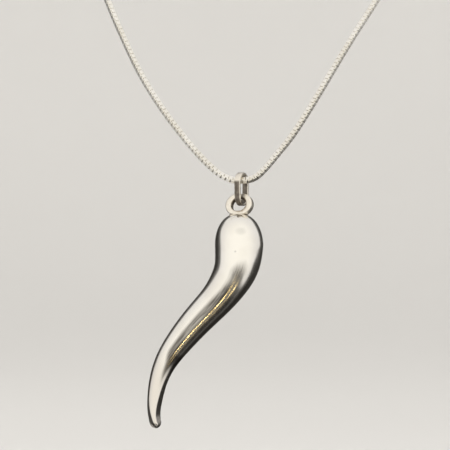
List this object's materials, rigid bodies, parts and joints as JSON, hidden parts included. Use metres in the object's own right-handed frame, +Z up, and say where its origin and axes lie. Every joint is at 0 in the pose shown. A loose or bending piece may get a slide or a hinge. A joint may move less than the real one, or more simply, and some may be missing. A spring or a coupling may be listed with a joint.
{
  "type": "cornicello horn pendant on a box chain",
  "caption": "Curved solid horn charm with a soldered eye ring, hung by a strip bail from a fine box chain that is worn round a neck.",
  "frame": {"origin": "at the nape, where the clasp's inner side meets the back of the neck", "axes": "+Z up as worn, -Y towards the wearer's front, +X to the right of someone facing the wearer"},
  "size_m": [0.1093, 0.1265, 0.1518],
  "materials": {
    "chain_silver": "bright silver box links with soft wear",
    "clasp_silver": "polished silver with fine scratches",
    "bail_silver": "worn silver strip, slightly tarnished",
    "horn_silver": "polished warm silver with fine brushed wear marks"
  },
  "bodies": {
    "necklace": {"chain_left": "chain_silver", "chain_right": "chain_silver", "clasp": "clasp_silver"},
    "bail": {"bail": "bail_silver"},
    "charm": {"horn": "horn_silver"}
  },
  "joints": [
    {"name": "bail_swing", "type": "hinge", "parent": "necklace", "child": "bail", "pos_m": [0, -0.118, -0.104], "axis": [1, 0, 0], "range_deg": [-75, 75]},
    {"name": "horn_swing", "type": "hinge", "parent": "bail", "child": "charm", "pos_m": [0, -0.118, -0.1085], "axis": [0.4695, 0.8829, 0], "range_deg": [-55, 55]}
  ]
}
